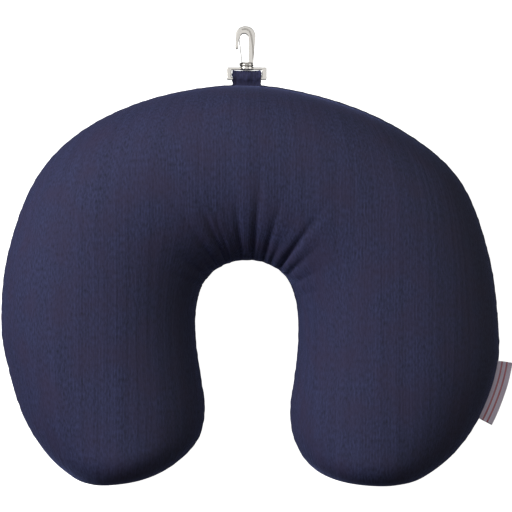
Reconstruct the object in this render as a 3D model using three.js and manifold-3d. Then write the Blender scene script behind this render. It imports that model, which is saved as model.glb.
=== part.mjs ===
// A U-shaped travel neck pillow: two sewn cover panels round a lining bag of beads, with a sewn-in
// fabric tab that carries a strap ring and a swivelling snap hook, and a folded woven side label.
// Millimetres. +X to the wearer's right as the pillow lies, +Y to the back of the neck, +Z up.
import * as THREE from "three";
import { mergeVertices } from "three/addons/utils/BufferGeometryUtils.js";
import Module from "manifold-3d";

const wasm = await Module();
wasm.setup();

// ---------- driving dimensions ----------
const SEAM_HEIGHT = 46; // the seam round the pillow, above the surface that it lies on
const RISE = 54; // crown of the upper panel above the seam
const FULL_WIDTH = 50; // half width from which a section is at its full height
const ROUNDNESS = 2.15; // exponent of the section's superellipse: 2 is an ellipse
const FLATTENING = 1.13; // how far the underside is pressed flat: 1 leaves only a line
const SECTION_STEPS = 8; // facets across one panel
const STATION_STEPS = 2; // sections between one outline point and the next

// Matching points of the outer and inner edges of the right half, from the back centre to the leg's
// end: each pair is one section of the pillow.
const OUTER_EDGE = [
  [0, 132.7], [58, 123.5], [106, 102], [141, 68], [159.5, 20], [164.8, -26],
  [160.5, -57], [150, -88], [134.5, -111], [115, -126.4], [100, -131.2],
];
const INNER_EDGE = [
  [0, 15.2], [12.5, 13.6], [23.5, 8], [31, -2.5], [34.4, -18], [34.2, -38],
  [31.5, -59], [28.5, -81], [30.5, -101], [42, -116.5], [60, -126.6],
];
const LEG_END = [81, -132.6];

const SEAM_GAP = 2.2; // between the two panels' edges, where the tab and the label go in
const COVER_DEPTHS = [0, 1.2]; // outer and inner face of each layer, below the pillow's surface
const LINING_DEPTHS = [3.6, 4.4];
const FILL_DEPTH = 4.9;
const THREAD_DEPTH = 2.4;
const THREAD_RADIUS = 0.6;
const SEAM_TUCK = 1.3; // how far the tab and the label go in between the panels
const CLEARANCE = 0.3; // between pieces that touch or turn on each other

const TAB_WIDTH = 19;
const TAB_WALL = 1.2;
const BAR_RADIUS = 0.9; // the ring's bars, on edge
const TILT_AXIS_Y = 136.7; // the ring's inner bar, which the tab's loop goes round
const LOOP_REACH = 5.2; // from that bar's axis to the top of the loop
const LOOP_BULGE = 3.2; // half the loop's thickness

const RING_SIZE = [26.5, 8.3];
const RING_SIDE = 3.2;
const RING_THICKNESS = 2.2;
const COLLAR_RADIUS = 4.6;
const COLLAR_HEIGHT = 2.3;
const STUD_RADIUS = 1.3;
const STUD_HEAD_RADIUS = 2.3;
const STUD_HEAD_HEIGHT = 0.8;
const STUD_TOP = 1.4; // how far the stud reaches into the hook's collar

const HOOK_THICKNESS = 3.6;
const HOOK_BEVEL = 0.5; // taken off the outline, and given back by the bevel
const CROWN_RADIUS = 6.8;
const CROWN_CENTRE = [-0.9, 19.7];
const EYE_RADIUS = 2.6; // inside of the crown
const EYE_CENTRE = [-1.7, 18.9];
const GATE_THICKNESS = 0.8;
const GATE_WIDTH = 3;
const GATE_FOOT = [-3.2, 0.6];
const GATE_TIP = [-4.75, 17];
const GATE_SLOT = [-3.9, -2.35]; // the slot in the collar that the gate's foot bends in, across
const GATE_PIVOT_Y = 1.3; // height of the gate's rivet over the hook's base
const RIVET_RADIUS = 0.5;
const RIVET_HEAD_RADIUS = 0.9;
const RIVET_HEAD = [-4.85, -4.35]; // from its outer face to the shank
const RIVET_END = -2.45;

const LABEL_SPAN = [5.72, 6.98]; // along OUTER_EDGE, in outline points
const LABEL_WIDTH = 10.2; // beyond the seam
const LABEL_THICKNESS = 1;
const LABEL_STEPS = 10;

// ---------- materials ----------
const finish = (color, roughness, metalness = 0) =>
  new THREE.MeshStandardMaterial({ color, roughness, metalness });
const knit = finish(0x2f3058, 0.85);
const lining = finish(0xd9d9d4, 0.9);
const beads = finish(0xf4f4f1, 0.6);
const thread = finish(0x1c1d33, 0.8);
const satin = finish(0xa89aa8, 0.5);
const chrome = finish(0xc9c8c4, 0.2, 1);

// ---------- solids ----------
const part = new THREE.Group();

function addMesh(group, name, geometry, material) {
  const mesh = new THREE.Mesh(geometry, material);
  mesh.name = name;
  group.add(mesh);
  return mesh;
}

function meshOf(points, triangles) {
  const geometry = new THREE.BufferGeometry();
  const flat = points.flatMap((p) => [p.x, p.y, p.z]);
  geometry.setAttribute("position", new THREE.Float32BufferAttribute(flat, 3));
  geometry.setIndex(triangles);
  geometry.computeVertexNormals();
  return geometry;
}

function solid(geometry) {
  const bare = geometry.clone();
  bare.deleteAttribute("normal");
  bare.deleteAttribute("uv");
  const merged = mergeVertices(bare, 1e-4);
  return new wasm.Manifold(
    new wasm.Mesh({
      numProp: 3,
      vertProperties: merged.attributes.position.array,
      triVerts: new Uint32Array(merged.index.array),
    }),
  );
}

function geometryOf(manifold) {
  const mesh = manifold.getMesh();
  const geometry = new THREE.BufferGeometry();
  const positions = new THREE.BufferAttribute(mesh.vertProperties, mesh.numProp);
  geometry.setAttribute("position", positions);
  geometry.setIndex(new THREE.BufferAttribute(mesh.triVerts, 1));
  geometry.computeVertexNormals();
  return geometry;
}

// A cylinder along Y from one height to another.
function discY(radius, from, to, sides = 24, x = 0) {
  const made = new THREE.CylinderGeometry(radius, radius, to - from, sides);
  return made.translate(x, (from + to) / 2, 0);
}

// A cylinder along X from one place to another.
function pinX(radius, from, to, y, sides = 12) {
  const made = new THREE.CylinderGeometry(radius, radius, to - from, sides);
  return made.rotateZ(Math.PI / 2).translate((from + to) / 2, y, 0);
}

// ---------- the pillow's surface ----------
// The edges as smooth curves from the right leg's end, round the back, to the left leg's end.
function edgeCurve(half) {
  const right = [LEG_END, ...half.slice(1).reverse()];
  const left = right.map(([x, y]) => [-x, y]).reverse();
  const all = [...right, half[0], ...left];
  return new THREE.CatmullRomCurve3(all.map(([x, y]) => new THREE.Vector3(x, y, 0)));
}
const outerCurve = edgeCurve(OUTER_EDGE);
const innerCurve = edgeCurve(INNER_EDGE);
const HALF_SPANS = OUTER_EDGE.length; // outline spans in one half, with the leg's end
const STATIONS = 2 * HALF_SPANS * STATION_STEPS;

// One section: points round the pillow from the outer edge, over the top, to the inner edge and back.
function section(station) {
  const outer = outerCurve.getPoint(station / STATIONS);
  const inner = innerCurve.getPoint(station / STATIONS);
  const middle = outer.clone().add(inner).multiplyScalar(0.5);
  const half = outer.clone().sub(inner).multiplyScalar(0.5);
  const fullness = Math.sin((Math.PI / 2) * Math.min(1, half.length() / FULL_WIDTH));
  const points = [];
  for (let step = 0; step < 2 * SECTION_STEPS; step++) {
    const angle = (Math.PI * step) / SECTION_STEPS;
    const across = Math.sign(Math.cos(angle)) * Math.abs(Math.cos(angle)) ** (2 / ROUNDNESS);
    const up = Math.abs(Math.sin(angle)) ** (2 / ROUNDNESS);
    const over = angle <= Math.PI;
    const height = over ? RISE * up : -SEAM_HEIGHT * Math.min(1, FLATTENING * up);
    const point = middle.clone().addScaledVector(half, across);
    point.z = SEAM_HEIGHT + fullness * height;
    points.push(point);
  }
  return points;
}

// The whole surface as a list of points and triangles: one ring for each section between two ends.
function pillowSurface() {
  const sides = 2 * SECTION_STEPS;
  const ringStart = (i) => 1 + (i - 1) * sides;
  const ends = [outerCurve.getPoint(0), outerCurve.getPoint(1)];
  ends.forEach((p) => (p.z = SEAM_HEIGHT));
  const points = [ends[0]];
  for (let i = 1; i < STATIONS; i++) points.push(...section(i));
  points.push(ends[1]);
  const last = points.length - 1;
  const triangles = [];
  for (let j = 0; j < sides; j++) {
    const next = (j + 1) % sides;
    triangles.push(0, ringStart(1) + j, ringStart(1) + next);
    for (let i = 1; i < STATIONS - 1; i++) {
      const [a, b] = [ringStart(i) + j, ringStart(i) + next];
      const [c, d] = [ringStart(i + 1) + j, ringStart(i + 1) + next];
      triangles.push(a, d, b, a, c, d);
    }
    triangles.push(ringStart(STATIONS - 1) + next, ringStart(STATIONS - 1) + j, last);
  }
  return { points, triangles };
}
const surface = pillowSurface();
const surfaceNormals = (() => {
  const normals = meshOf(surface.points, surface.triangles).attributes.normal;
  return surface.points.map((_, i) => new THREE.Vector3().fromBufferAttribute(normals, i));
})();

// A point of the surface, sunk below it: station 0 and STATIONS are the legs' ends.
function sunk(station, step, depth) {
  const sides = 2 * SECTION_STEPS;
  let index = 1 + (station - 1) * sides + (step % sides);
  if (station === 0) index = 0;
  if (station === STATIONS) index = surface.points.length - 1;
  return surface.points[index].clone().addScaledVector(surfaceNormals[index], -depth);
}

// Half of one sewn layer, as a thin bowl: side 1 is the upper half and -1 the lower.
function layerHalf([outside, inside], side) {
  const edgeHeight = SEAM_HEIGHT + (side * SEAM_GAP) / 2;
  const points = [];
  const triangles = [];
  const width = SECTION_STEPS + 1;
  for (const depth of [outside, inside])
    for (let i = 0; i <= STATIONS; i++)
      for (let j = 0; j < width; j++) {
        const step = side > 0 ? j : 2 * SECTION_STEPS - j;
        const point = sunk(i, step, depth);
        const onEdge = j === 0 || j === SECTION_STEPS || i === 0 || i === STATIONS;
        if (onEdge) point.z = edgeHeight;
        points.push(point);
      }
  const at = (layer, i, j) => (layer * (STATIONS + 1) + i) * width + j;
  const quad = (a, b, c, d) => {
    const corners = side > 0 ? [a, c, b, a, d, c] : [a, b, c, a, c, d];
    triangles.push(...corners);
  };
  for (let i = 0; i < STATIONS; i++) {
    for (let j = 0; j < SECTION_STEPS; j++) {
      quad(at(0, i, j), at(0, i, j + 1), at(0, i + 1, j + 1), at(0, i + 1, j));
      quad(at(1, i, j), at(1, i + 1, j), at(1, i + 1, j + 1), at(1, i, j + 1));
    }
    const far = SECTION_STEPS;
    quad(at(0, i, 0), at(0, i + 1, 0), at(1, i + 1, 0), at(1, i, 0));
    quad(at(0, i, far), at(1, i, far), at(1, i + 1, far), at(0, i + 1, far));
  }
  return geometryOf(solid(meshOf(points, triangles)));
}

function beadFill() {
  const points = surface.points.map((p, i) =>
    p.clone().addScaledVector(surfaceNormals[i], -FILL_DEPTH),
  );
  return meshOf(points, surface.triangles);
}

// The thread that joins the panels: a closed cord inside the seam, six-sided.
function seamThread() {
  const route = [];
  for (let i = 0; i <= STATIONS; i++) route.push(sunk(i, 0, THREAD_DEPTH));
  for (let i = STATIONS - 1; i > 0; i--) route.push(sunk(i, SECTION_STEPS, THREAD_DEPTH));
  const sides = 6;
  const points = [];
  const triangles = [];
  route.forEach((centre, i) => {
    const along = route[(i + 1) % route.length].clone().sub(route.at(i - 1));
    const outwards = new THREE.Vector3(along.y, -along.x, 0).normalize();
    for (let j = 0; j < sides; j++) {
      const angle = (2 * Math.PI * j) / sides;
      const point = centre.clone().addScaledVector(outwards, THREAD_RADIUS * Math.cos(angle));
      point.z = SEAM_HEIGHT + THREAD_RADIUS * Math.sin(angle);
      points.push(point);
      const [a, b] = [i * sides + j, i * sides + ((j + 1) % sides)];
      const ahead = ((i + 1) % route.length) * sides;
      const [c, d] = [ahead + j, ahead + ((j + 1) % sides)];
      triangles.push(a, d, b, a, c, d);
    }
  });
  return meshOf(points, triangles);
}

// The folded side label: a thin strip that follows the seam, with its inner edge tucked in.
function sideLabel() {
  const points = [];
  const triangles = [];
  for (let i = 0; i <= LABEL_STEPS; i++) {
    const along = LABEL_SPAN[0] + ((LABEL_SPAN[1] - LABEL_SPAN[0]) * i) / LABEL_STEPS;
    const t = (HALF_SPANS - along) / (2 * HALF_SPANS);
    const edge = outerCurve.getPoint(t);
    const tangent = outerCurve.getTangent(t);
    const outwards = new THREE.Vector3(tangent.y, -tangent.x, 0);
    for (const [out, up] of [[-SEAM_TUCK, -1], [LABEL_WIDTH, -1], [LABEL_WIDTH, 1], [-SEAM_TUCK, 1]]) {
      const point = edge.clone().addScaledVector(outwards, out);
      point.z = SEAM_HEIGHT + (up * LABEL_THICKNESS) / 2;
      points.push(point);
    }
  }
  const quad = (a, b, c, d) => triangles.push(a, c, b, a, d, c);
  for (let i = 0; i < LABEL_STEPS; i++)
    for (let j = 0; j < 4; j++) {
      const next = (j + 1) % 4;
      quad(4 * i + j, 4 * (i + 1) + j, 4 * (i + 1) + next, 4 * i + next);
    }
  quad(0, 1, 2, 3);
  const end = 4 * LABEL_STEPS;
  quad(end, end + 3, end + 2, end + 1);
  return meshOf(points, triangles);
}

// ---------- the hanging tab ----------
// A folded strip of the cover's cloth, drawn in the Y-Z plane and extruded along X.
function hangingTab() {
  const edge = OUTER_EDGE[0][1];
  const root = SEAM_GAP / 2 - CLEARANCE;
  const top = TILT_AXIS_Y + LOOP_REACH;
  const profile = new THREE.Shape();
  profile.moveTo(edge - SEAM_TUCK, -root);
  profile.lineTo(edge + 0.8, -root);
  profile.bezierCurveTo(edge + 2, -root, TILT_AXIS_Y - 2, -LOOP_BULGE, TILT_AXIS_Y + 0.6, -LOOP_BULGE);
  profile.bezierCurveTo(top - 1, -LOOP_BULGE, top, -1.8, top, 0);
  profile.bezierCurveTo(top, 1.8, top - 1, LOOP_BULGE, TILT_AXIS_Y + 0.6, LOOP_BULGE);
  profile.bezierCurveTo(TILT_AXIS_Y - 2, LOOP_BULGE, edge + 2, root, edge + 0.8, root);
  profile.lineTo(edge - SEAM_TUCK, root);
  const low = TILT_AXIS_Y - BAR_RADIUS - 0.6;
  const high = top - TAB_WALL;
  const eye = new THREE.Path();
  eye.absellipse((low + high) / 2, 0, (high - low) / 2, LOOP_BULGE - TAB_WALL, 0, 2 * Math.PI);
  profile.holes.push(eye);
  const made = new THREE.ExtrudeGeometry(profile, {
    depth: TAB_WIDTH,
    bevelEnabled: false,
    curveSegments: 6,
  });
  made.translate(0, 0, -TAB_WIDTH / 2);
  const toX = new THREE.Matrix4().makeBasis(
    new THREE.Vector3(0, 1, 0),
    new THREE.Vector3(0, 0, 1),
    new THREE.Vector3(1, 0, 0),
  );
  return made.applyMatrix4(toX).translate(0, 0, SEAM_HEIGHT);
}

// ---------- the strap ring ----------
// In its own frame: the inner bar's axis at the origin, the hook's side towards +Y.
const RING_TOP = RING_SIZE[1] - BAR_RADIUS;
const BOSS_FOOT = RING_TOP - 2 * BAR_RADIUS;

function roundedRectangle(shape, x, y, width, height, radius) {
  shape.moveTo(x + radius, y);
  shape.lineTo(x + width - radius, y);
  shape.absarc(x + width - radius, y + radius, radius, -Math.PI / 2, 0);
  shape.lineTo(x + width, y + height - radius);
  shape.absarc(x + width - radius, y + height - radius, radius, 0, Math.PI / 2);
  shape.lineTo(x + radius, y + height);
  shape.absarc(x + radius, y + height - radius, radius, Math.PI / 2, Math.PI);
  shape.lineTo(x, y + radius);
  shape.absarc(x + radius, y + radius, radius, Math.PI, 1.5 * Math.PI);
  return shape;
}

function strapRing() {
  const bevel = 0.5;
  const [width, height] = RING_SIZE;
  const outline = roundedRectangle(
    new THREE.Shape(), -width / 2 + bevel, -BAR_RADIUS + bevel, width - 2 * bevel, height - 2 * bevel, 0.9,
  );
  const windowWidth = width - 2 * RING_SIDE;
  const windowHeight = height - 4 * BAR_RADIUS;
  outline.holes.push(
    roundedRectangle(
      new THREE.Path(), -windowWidth / 2 - bevel, BAR_RADIUS - bevel,
      windowWidth + 2 * bevel, windowHeight + 2 * bevel, 0.9,
    ),
  );
  const frame = new THREE.ExtrudeGeometry(outline, {
    depth: RING_THICKNESS - 2 * bevel,
    bevelThickness: bevel,
    bevelSize: bevel,
    bevelSegments: 1,
    curveSegments: 2,
  }).translate(0, 0, -RING_THICKNESS / 2 + bevel);
  const bossTop = BOSS_FOOT + COLLAR_HEIGHT;
  const recess = STUD_HEAD_HEIGHT + CLEARANCE;
  const ring = solid(frame)
    .add(solid(discY(COLLAR_RADIUS, BOSS_FOOT, bossTop)))
    .subtract(solid(discY(STUD_HEAD_RADIUS + CLEARANCE, BOSS_FOOT - 1, BOSS_FOOT + recess)))
    .subtract(solid(discY(STUD_RADIUS + CLEARANCE, BOSS_FOOT - 1, bossTop + 1)));
  return geometryOf(ring);
}

// ---------- the snap hook ----------
// In its own frame: the middle of its base at the origin, its crown towards +Y.
function hookOutline() {
  const shape = new THREE.Shape();
  shape.moveTo(1.4, 1.2);
  shape.lineTo(3.9, 1.2);
  shape.splineThru([
    new THREE.Vector2(4.1, 5),
    new THREE.Vector2(4.7, 12),
    new THREE.Vector2(CROWN_CENTRE[0] + CROWN_RADIUS - HOOK_BEVEL, CROWN_CENTRE[1]),
  ]);
  shape.absarc(...CROWN_CENTRE, CROWN_RADIUS - HOOK_BEVEL, 0, Math.PI);
  shape.splineThru([
    new THREE.Vector2(-7.1, 15),
    new THREE.Vector2(-7, 12.4),
    new THREE.Vector2(-6.5, 11.6),
    new THREE.Vector2(-6.05, 12.6),
    new THREE.Vector2(-6, 15.8),
    new THREE.Vector2(-5.5, 17.4),
    new THREE.Vector2(EYE_CENTRE[0] - EYE_RADIUS - HOOK_BEVEL, EYE_CENTRE[1]),
  ]);
  shape.absarc(...EYE_CENTRE, EYE_RADIUS + HOOK_BEVEL, Math.PI, 0, true);
  shape.lineTo(1.4, 1.2);
  return shape;
}

function hookBody() {
  const shank = new THREE.ExtrudeGeometry(hookOutline(), {
    depth: HOOK_THICKNESS - 2 * HOOK_BEVEL,
    bevelThickness: HOOK_BEVEL,
    bevelSize: HOOK_BEVEL,
    bevelSegments: 1,
    curveSegments: 5,
  }).translate(0, 0, -HOOK_THICKNESS / 2 + HOOK_BEVEL);
  const [slotLeft, slotRight] = GATE_SLOT;
  const slotHeight = 2 * COLLAR_HEIGHT;
  const slotDepth = GATE_WIDTH + 2 * CLEARANCE;
  const slot = new THREE.BoxGeometry(slotRight - slotLeft, slotHeight, slotDepth);
  slot.translate((slotLeft + slotRight) / 2, GATE_FOOT[1] - CLEARANCE + slotHeight / 2, 0);
  const outside = -COLLAR_RADIUS - 1;
  const studHole = discY(STUD_RADIUS + CLEARANCE, -1, STUD_TOP + CLEARANCE);
  const rivetHole = pinX(RIVET_RADIUS + CLEARANCE, outside, slotRight, GATE_PIVOT_Y);
  const seatFloor = RIVET_HEAD[1] + CLEARANCE / 3;
  const rivetSeat = pinX(RIVET_HEAD_RADIUS + CLEARANCE, outside, seatFloor, GATE_PIVOT_Y);
  const body = solid(shank)
    .add(solid(discY(COLLAR_RADIUS, 0, COLLAR_HEIGHT)))
    .subtract(solid(slot))
    .subtract(solid(studHole))
    .subtract(solid(rivetHole))
    .subtract(solid(rivetSeat));
  return geometryOf(body);
}

// The stud that the hook turns on: its head is in the ring's recess.
function swivelStud() {
  const headFoot = -COLLAR_HEIGHT - CLEARANCE;
  const headTop = headFoot + STUD_HEAD_HEIGHT;
  const head = discY(STUD_HEAD_RADIUS, headFoot, headTop);
  const shank = discY(STUD_RADIUS, headFoot + STUD_HEAD_HEIGHT / 2, STUD_TOP);
  return geometryOf(solid(head).add(solid(shank)));
}

// The spring gate: a strip with a hole for its rivet, closed against the hook's nose.
function springGate() {
  const [footX, footY] = GATE_FOOT;
  const [tipX, tipY] = GATE_TIP;
  const half = GATE_THICKNESS / 2;
  const strip = new THREE.Shape();
  strip.moveTo(footX - half, footY);
  strip.lineTo(footX + half, footY);
  strip.lineTo(footX + half, COLLAR_HEIGHT + 0.4);
  strip.lineTo(tipX + half, tipY - 1.2);
  strip.lineTo(tipX + half + 0.25, tipY);
  strip.lineTo(tipX - half + 0.35, tipY);
  strip.lineTo(tipX - half, tipY - 1.2);
  strip.lineTo(footX - half, COLLAR_HEIGHT + 0.4);
  const made = new THREE.ExtrudeGeometry(strip, { depth: GATE_WIDTH, bevelEnabled: false });
  made.translate(0, 0, -GATE_WIDTH / 2);
  const hole = pinX(RIVET_RADIUS + CLEARANCE, -COLLAR_RADIUS, 0, GATE_PIVOT_Y);
  return geometryOf(solid(made).subtract(solid(hole)));
}

function gateRivet() {
  const shank = pinX(RIVET_RADIUS, RIVET_HEAD[0] + 0.1, RIVET_END, GATE_PIVOT_Y);
  const head = pinX(RIVET_HEAD_RADIUS, ...RIVET_HEAD, GATE_PIVOT_Y);
  return geometryOf(solid(shank).add(solid(head)));
}

// ---------- assembly ----------
addMesh(part, "upper_cover_panel", layerHalf(COVER_DEPTHS, 1), knit);
addMesh(part, "lower_cover_panel", layerHalf(COVER_DEPTHS, -1), knit);
addMesh(part, "upper_lining_panel", layerHalf(LINING_DEPTHS, 1), lining);
addMesh(part, "lower_lining_panel", layerHalf(LINING_DEPTHS, -1), lining);
addMesh(part, "bead_fill", beadFill(), beads);
addMesh(part, "seam_thread", seamThread(), thread);
addMesh(part, "hanging_tab", hangingTab(), knit);
addMesh(part, "side_label", sideLabel(), satin);

const ring = new THREE.Group();
ring.position.set(0, TILT_AXIS_Y, SEAM_HEIGHT);
part.add(ring);
addMesh(ring, "strap_ring", strapRing(), chrome);

const hook = new THREE.Group();
hook.position.set(0, BOSS_FOOT + COLLAR_HEIGHT + CLEARANCE, 0);
ring.add(hook);
addMesh(hook, "hook_body", hookBody(), chrome);
addMesh(hook, "swivel_stud", swivelStud(), chrome);
addMesh(hook, "spring_gate", springGate(), chrome);
addMesh(hook, "gate_rivet", gateRivet(), chrome);

// The origin goes to the middle of the whole part's box, on the surface that it lies on.
const box = new THREE.Box3().setFromObject(part);
const middle = box.getCenter(new THREE.Vector3());
part.children.forEach((child) => {
  child.position.x -= middle.x;
  child.position.y -= middle.y;
});

export default part;
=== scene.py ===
# %% [markdown]
# # A U-shaped neck pillow
# The pillow is two panels of stretch knit, sewn edge to edge round a bag of beads.
# A tab of the same cloth is caught in the seam at the back of the neck. It carries a strap ring and
# a small snap hook that swivels. A folded woven label is caught in the seam of one leg.
# The CAD model holds the sizes and the joints. This script makes the looks around it.

import math

import bmesh
import bpy
import numpy as np
from mathutils import Matrix, Vector


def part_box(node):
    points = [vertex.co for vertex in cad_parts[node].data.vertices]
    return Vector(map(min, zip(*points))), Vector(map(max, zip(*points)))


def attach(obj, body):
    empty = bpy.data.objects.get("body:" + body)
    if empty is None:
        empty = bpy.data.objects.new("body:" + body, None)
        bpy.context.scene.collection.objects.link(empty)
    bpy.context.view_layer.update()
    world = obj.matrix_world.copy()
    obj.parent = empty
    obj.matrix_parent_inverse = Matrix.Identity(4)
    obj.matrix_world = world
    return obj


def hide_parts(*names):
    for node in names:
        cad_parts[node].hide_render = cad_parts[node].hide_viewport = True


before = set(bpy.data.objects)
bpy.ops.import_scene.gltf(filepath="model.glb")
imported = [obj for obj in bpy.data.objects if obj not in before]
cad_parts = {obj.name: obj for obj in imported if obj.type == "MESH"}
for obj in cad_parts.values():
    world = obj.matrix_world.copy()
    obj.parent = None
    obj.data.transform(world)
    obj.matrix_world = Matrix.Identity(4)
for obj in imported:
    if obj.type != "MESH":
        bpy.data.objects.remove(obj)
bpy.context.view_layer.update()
MM = 0.001


def in_mm(corners):
    """Corners in millimetres, rounded, to print."""
    return [[round(float(v) / MM, 1) for v in corner] for corner in corners]


# %% [markdown]
# ## Where things are
# Every place comes from the CAD nodes. The tab's middle gives the pillow's axis, the cover's far edge
# gives the back of the neck, and the thread gives the height of the seam.
# The pillow's outline is drawn from a point on that axis, 132.7 mm in from the back.

# %% Measure the frame
tab_low, tab_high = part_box("hanging_tab")
_, cover_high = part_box("upper_cover_panel")
thread_low, thread_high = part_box("seam_thread")
BACK_REACH = 132.7 * MM
AXIS_X = (tab_low.x + tab_high.x) / 2
SEAM_Z = (thread_low.z + thread_high.z) / 2
TOP_Z = cover_high.z
DRAWING_Y = cover_high.y - BACK_REACH
TAB_WIDTH = tab_high.x - tab_low.x
print(f"axis x {AXIS_X / MM:.2f}, drawing y {DRAWING_Y / MM:.2f}, seam z {SEAM_Z / MM:.2f} mm")

# %% [markdown]
# ## The outline
# The seam is the widest line of the pillow, so its two edges in plan are the whole silhouette.
# Each row pairs a point of the outer edge with the point of the inner edge across from it, from the
# back of the neck to the leg's end. The two legs differ by a few millimetres, because a
# bead-filled pillow never lies quite square.

# %% Draw the outline
RIGHT_OUTER = [
    (0, 132.7), (56, 122.8), (105, 101.2), (141.5, 69), (160.5, 20), (167, -30),
    (165.3, -58), (154, -88), (138, -110.6), (118, -126), (103, -130.8), (87, -132.4),
]
RIGHT_INNER = [
    (0, 16.3), (12.5, 14.4), (24, 7.5), (31, -3.5), (34, -20), (33.6, -42),
    (31.3, -62), (28.7, -82), (31, -101), (41, -118), (58, -127.8), (87, -132.4),
]
LEFT_OUTER = [
    (0, 132.7), (59, 124.6), (108, 103), (140, 70), (158.5, 20), (162.6, -26),
    (157.5, -57), (147.5, -88), (132.5, -111.5), (116, -126), (105, -130.7), (93, -132.4),
]
LEFT_INNER = [
    (0, 16.3), (12.5, 14.2), (23.5, 7.8), (31, -3), (34.2, -20), (33.2, -40),
    (30, -62), (27.6, -82), (31.5, -101), (45.5, -116.5), (65, -127), (93, -132.4),
]


def whole_edge(right, left):
    """One edge from the right leg's end, round the back, to the left leg's end, in metres."""
    points = list(reversed(right)) + [(-x, y) for x, y in left[1:]]
    return np.array([(AXIS_X + x * MM, DRAWING_Y + y * MM) for x, y in points])


def read_at(grid, places, closed):
    """The grid read at fractional places along its first side, on Catmull-Rom curves."""
    count = len(grid)
    row = np.minimum(np.floor(places).astype(int), count - 1 if closed else count - 2)
    t = (places - row).reshape(-1, *[1] * (grid.ndim - 1))
    if closed:
        a, b, c, d = (grid[(row + step) % count] for step in (-1, 0, 1, 2))
    else:
        longer = np.concatenate([2 * grid[:1] - grid[1:2], grid, 2 * grid[-1:] - grid[-2:-1]])
        a, b, c, d = (longer[row + step] for step in (0, 1, 2, 3))
    cubic = 2 * b + (c - a) * t + (2 * a - 5 * b + 4 * c - d) * t**2
    return (cubic + (3 * b - a - 3 * c + d) * t**3) / 2


def smooth_line(points, steps):
    """A smooth curve through the points, with so many steps between one and the next."""
    return read_at(points, np.linspace(0, len(points) - 1, (len(points) - 1) * steps + 1), False)


OUTLINE_STEPS = 10
SEAM_INSET = 0.7 * MM  # the cloth bellies past the seam by about so much
POINTED = 5 * MM  # where the two edges come closer than this, the inset fades out
outer_edge = smooth_line(whole_edge(RIGHT_OUTER, LEFT_OUTER), OUTLINE_STEPS)
inner_edge = smooth_line(whole_edge(RIGHT_INNER, LEFT_INNER), OUTLINE_STEPS)
inwards = inner_edge - outer_edge
apart = np.linalg.norm(inwards, axis=1, keepdims=True)
outer_edge += SEAM_INSET * inwards / np.maximum(apart, POINTED)
print(len(outer_edge), "sections; pillow is", round(float(np.ptp(outer_edge[:, 0])) / MM), "mm wide")

# %% [markdown]
# ## The stuffed shape
# A stuffed section is close to an ellipse: full at the top, pressed flat where it lies on the table.
# The section's points are spaced evenly by length along the cloth, so the cloth simulation that
# follows starts from even squares.
# The same lengths, unrolled from the crown, tell where each point lies on the flat panel that was
# cut. The knit's grain reads those, so it runs over the pillow as cut cloth does.

# %% Build the sections
HALF_SIDES = 52  # steps across one panel
ROUNDNESS = 2.15
FULL_WIDTH = 50 * MM
FLATTENING = 1.13
RISE = TOP_Z - SEAM_Z
FINE_STEPS = 400  # to measure the curve of a section by
CROWDING = 0.45  # the ribs of the stretched knit crowd together towards the seams


def half_section(half_width, depth, flattening):
    """Points across one panel, from the outer seam to the inner, and their unrolled distances."""
    angle = np.linspace(0, math.pi, FINE_STEPS)
    across = half_width * np.sign(np.cos(angle)) * np.abs(np.cos(angle)) ** (2 / ROUNDNESS)
    up = depth * np.minimum(1, flattening * np.sin(angle) ** (2 / ROUNDNESS))
    run = np.concatenate([[0], np.cumsum(np.hypot(np.diff(across), np.diff(up)))])
    even = np.linspace(0, run[-1], HALF_SIDES + 1)
    unrolled = run[-1] / 2 - even
    crowded = 1 + CROWDING * (unrolled / unrolled[0]) ** 2
    return np.interp(even, run, across), np.interp(even, run, up), unrolled * crowded


def stuffed_shape():
    """Places of the sections' points, [section, point round it], and the flat panels' patterns."""
    rings, flats = [], []
    for outer, inner in zip(outer_edge, inner_edge):
        middle, half = (outer + inner) / 2, (outer - inner) / 2
        width = max(np.linalg.norm(half), 1e-9)
        outward = half / width
        fullness = math.sin(math.pi / 2 * min(1, width / FULL_WIDTH))
        ring, flat = [], []
        for rise, flattening, order in ((RISE, 1, 1), (-SEAM_Z, FLATTENING, -1)):
            across, up, unrolled = half_section(width, rise * fullness, flattening)
            plan = middle + across[:, None] * outward
            places = np.column_stack([plan, SEAM_Z + up])
            pattern = middle + unrolled[:, None] * outward
            ring.append(places[::order][:-1])
            flat.append(pattern[::order])
        rings.append(np.vstack(ring))
        flats.append(np.array(flat))
    return np.array(rings), np.array(flats)


shape, patterns = stuffed_shape()
print("sections and points:", shape.shape[:2])

# %% [markdown]
# ## From a grid of points to a mesh
# The sections make a tube that closes to a point at each leg's end. Upper and lower panels share
# the seam's points but not their patterns, so the UV map is split there, as the cloth is.

# %% Make a mesh from sections


def linked(name, data):
    """A new object that holds the data, in the scene."""
    made = bpy.data.objects.new(name, data)
    bpy.context.scene.collection.objects.link(made)
    return made


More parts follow.
